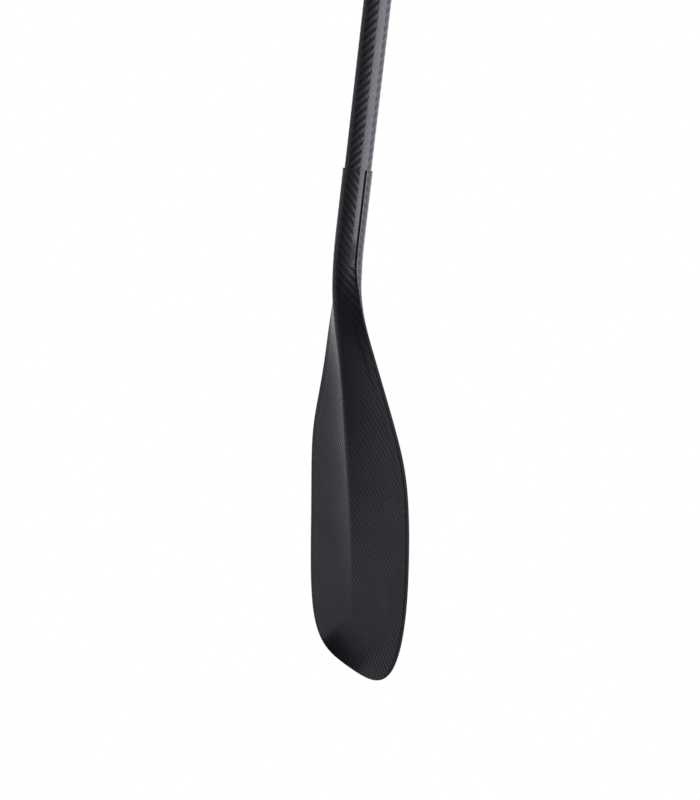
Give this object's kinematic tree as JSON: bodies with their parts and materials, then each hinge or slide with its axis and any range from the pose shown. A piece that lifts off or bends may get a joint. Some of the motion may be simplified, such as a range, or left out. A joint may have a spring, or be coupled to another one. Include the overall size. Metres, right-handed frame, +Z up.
{
  "type": "outrigger canoe paddle",
  "caption": "Bent-neck outrigger canoe paddle: two-shell ridged carbon blade, straight tube shaft and a flared palm grip.",
  "frame": {"origin": "on the shaft's axis where the palm grip meets the shaft", "axes": "+Z up along the shaft towards the grip, +X across the blade, -Y out of the power face; the blade hangs below"},
  "size_m": [0.203, 0.0877, 1.2713],
  "materials": {
    "blade_carbon": "woven 2x2 twill carbon fibre under a thin satin resin coat",
    "shaft_carbon": "woven 2x2 twill carbon fibre tube, satin",
    "foam": "closed-cell structural foam",
    "spine_wood": "bare softwood stringer",
    "edge_resin": "fibre-filled epoxy"
  },
  "bodies": {
    "root": {"power_face_shell": "blade_carbon", "back_face_shell": "blade_carbon", "shaft_tube": "shaft_carbon", "shaft_plug": "foam", "neck_core": "foam", "blade_core_left": "foam", "blade_core_right": "foam", "blade_spine": "spine_wood", "edge_band": "edge_resin", "grip_front_shell": "blade_carbon", "grip_back_shell": "blade_carbon", "grip_core": "foam", "grip_spigot": "shaft_carbon"}
  },
  "joints": []
}
